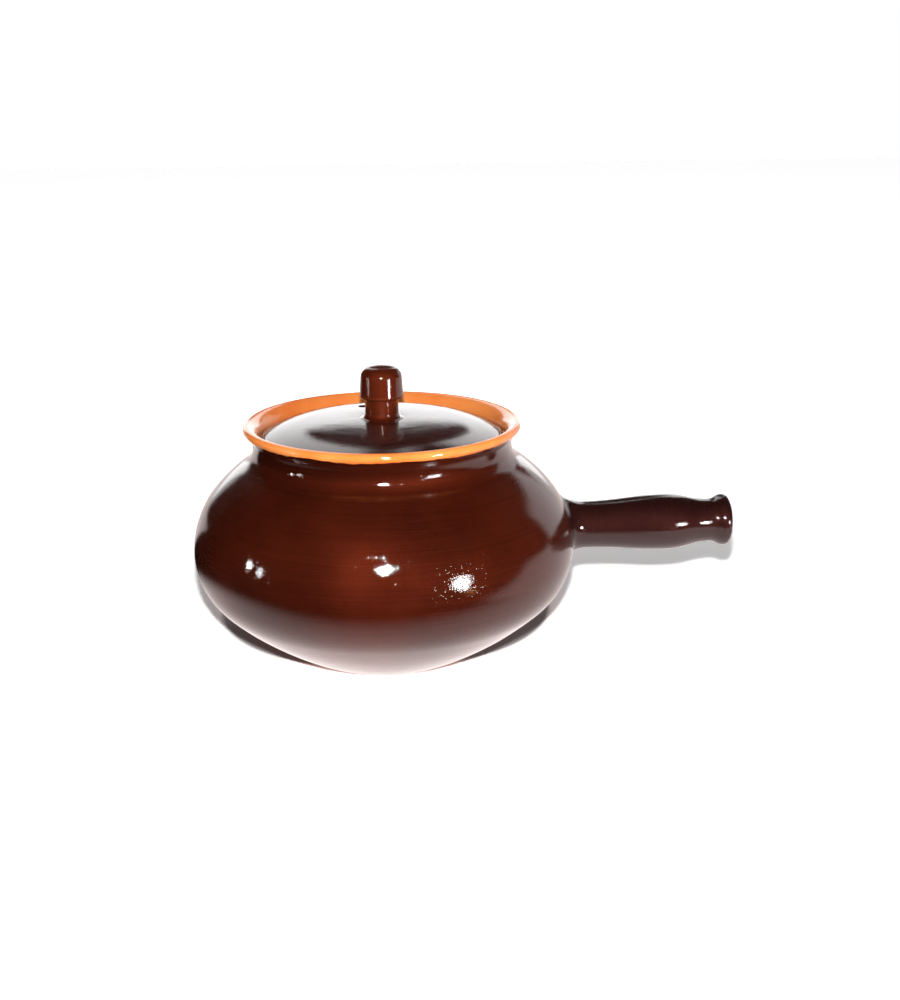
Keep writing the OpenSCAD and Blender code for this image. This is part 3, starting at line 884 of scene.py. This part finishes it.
# %% [markdown]
# ## The room
# The world has three faces too. The camera sees plain white, so the background is white. The
# clay and the floor get a soft light that comes mostly from straight above, as from a
# ceiling, so that the shadow beside the pot stays dark. The glaze mirrors a simple picture of
# the studio: the white sheet low down behind the pot, a strip of it standing higher on the
# right, a bright canopy with a dark oval gap in it, and the dim room everywhere else.
# Directions are in degrees from straight behind the pot, to the right as positive, and
# heights are the sine of the angle above the level.

# %% Tools for the picture of the room
room = Recipe(bpy.data.worlds.new("studio"))
bpy.context.scene.world = room.owner
look = room.parts(room.coordinates["Generated"])
turned, raised = room.math("ARCTAN2", look["X"], look["Y"]), look["Z"]
BELOW_FLOOR = -0.4


def between(value, low, high, soft):
    return room.times(room.ramp(value, low - soft, low + soft),
                      room.ramp(value, high - soft, high + soft, 1.0, 0.0))


def sector(left, right, soft):
    return between(turned, math.radians(left), math.radians(right), math.radians(soft))


def part_of_room(left, right, top, soft, glow):
    """A bright part that stands on the floor, between two directions and up to a height."""
    shown = room.times(sector(left, right, 1.5), between(raised, BELOW_FLOOR, top, soft))
    return room.times(shown, glow)


print("room tools ready")

# %% Paint the picture that the glaze mirrors
GAP_TURN, GAP_HALF_TURN, GAP_Z, GAP_HALF_Z = math.radians(4.5), math.radians(12.5), 0.51, 0.25
low = part_of_room(left=-27, right=34, top=0.21, soft=0.03, glow=1.0)
beside = part_of_room(left=34, right=66, top=0.42, soft=0.04, glow=1.0)
canopy = part_of_room(left=-23, right=28, top=0.82, soft=0.04, glow=2.5)
gap_side = room.math("DIVIDE", room.math("SUBTRACT", turned, GAP_TURN), GAP_HALF_TURN)
gap_height = room.math("DIVIDE", room.math("SUBTRACT", raised, GAP_Z), GAP_HALF_Z)
gap = room.math("ADD", room.math("POWER", gap_side, 2), room.math("POWER", gap_height, 2))
canopy = room.times(canopy, room.ramp(gap, 0.9, 1.12))
over_front = room.times(sector(-3, 9, 0.7), room.ramp(raised, 0.72, 0.75, 0.0, 0.85))
over_right = room.times(sector(13, 60, 1.0), room.ramp(raised, 0.62, 0.68))
cut_off = room.math("MAXIMUM", over_front, over_right)
canopy = room.times(canopy, room.math("SUBTRACT", 1.0, cut_off))
picture = room.math("MAXIMUM", room.math("MAXIMUM", low, beside), canopy)
print("picture of the room ready")

# %% Choose by the kind of ray again
ROOM_LIGHT, CEILING_FROM, CEILING_TO = 0.13, 0.4, 0.95
path = room.node("LightPath").outputs
ceiling = room.ramp(raised, CEILING_FROM, CEILING_TO, 0.0, ROOM_LIGHT)
glow = room.mix(path["Is Glossy Ray"], ceiling, picture)
straight = room.math("MAXIMUM", path["Is Camera Ray"], path["Is Transmission Ray"])
background = room.node("Background", Color=(1, 1, 1, 1), Strength=room.mix(straight, glow, 1.0))
room.node("OutputWorld", Surface=background.outputs[0])
print("room light %.2f" % ROOM_LIGHT)

# %% [markdown]
# ## The lamps
# Each lamp is placed by the highlight it makes: the direction a highlight's mirror ray points
# in is the direction of its lamp. The flash beside the camera gives most of the light and the
# shadow behind the pot. The others are small, and are there for their highlights. A lamp's
# power grows with the square of its distance, so a light of 1 is a plain level from anywhere.

# %% Hang the lamps
POT_MIDDLE = Vector((0, 0, 0.08))
# name: (azimuth from the camera's side to the right, elevation, distance, width, height, light)
LAMPS = {"flash": (-3.0, 23.0, 1.06, 0.028, 0.024, 1.0),
         "right_lamp": (38.5, 1.0, 1.1, 0.105, 0.17, 0.45),
         "warm_lamp": (39.5, -7.4, 0.49, 0.035, 0.014, 0.004),
         "left_lamp": (-84.0, 5.0, 1.1, 0.05, 0.06, 0.05),
         "second_left_lamp": (-75.5, 3.0, 1.1, 0.04, 0.05, 0.035)}


def lamp(name, azimuth, elevation, distance, width, height, light):
    """An oblong lamp that faces the pot's middle and isn't seen by the camera itself."""
    turn, lift = math.radians(azimuth), math.radians(elevation)
    toward = Vector((math.sin(turn) * math.cos(lift), -math.cos(turn) * math.cos(lift),
                     math.sin(lift)))
    data = bpy.data.lights.new(name, "AREA")
    data.shape = "RECTANGLE"
    data.size, data.size_y = width, height
    data.energy = light * (math.pi * distance) ** 2
    hung = bpy.data.objects.new(name, data)
    hung.matrix_world = (Matrix.Translation(POT_MIDDLE + toward * distance)
                         @ toward.to_track_quat("Z", "Y").to_matrix().to_4x4())
    hung.visible_camera = False
    bpy.context.scene.collection.objects.link(hung)
    return hung


for name, settings in LAMPS.items():
    lamp(name, *settings)
bpy.data.lights["warm_lamp"].color = (1.0, 0.42, 0.16)
print("lamps:", list(LAMPS))

# %% [markdown]
# Three more lights stay out of the mirror. A narrow spot straight above the mouth lifts the
# orange lip and the lid, as light thrown back from the ceiling would. Two low, wide fills
# light the far side, which the photograph doesn't show.

# %% Add the spot over the mouth and the fills behind
SPOT_PLACE, SPOT_POWER, SPOT_WIDTH, SPOT_SOFT = (0, 0, 1.27), 14.0, math.radians(13), 0.5
FILL_TURN, FILL = 142.0, (0.0, 1.6, 0.7, 0.13, 0.3)
spot_data = bpy.data.lights.new("mouth_spot", "SPOT")
spot_data.energy, spot_data.spot_size, spot_data.spot_blend = SPOT_POWER, SPOT_WIDTH, SPOT_SOFT
mouth_spot = bpy.data.objects.new("mouth_spot", spot_data)
mouth_spot.location = SPOT_PLACE
bpy.context.scene.collection.objects.link(mouth_spot)
fills = [lamp("back_fill", FILL_TURN, *FILL), lamp("other_back_fill", -FILL_TURN, *FILL)]
for unseen in (mouth_spot, *fills):
    unseen.visible_glossy = False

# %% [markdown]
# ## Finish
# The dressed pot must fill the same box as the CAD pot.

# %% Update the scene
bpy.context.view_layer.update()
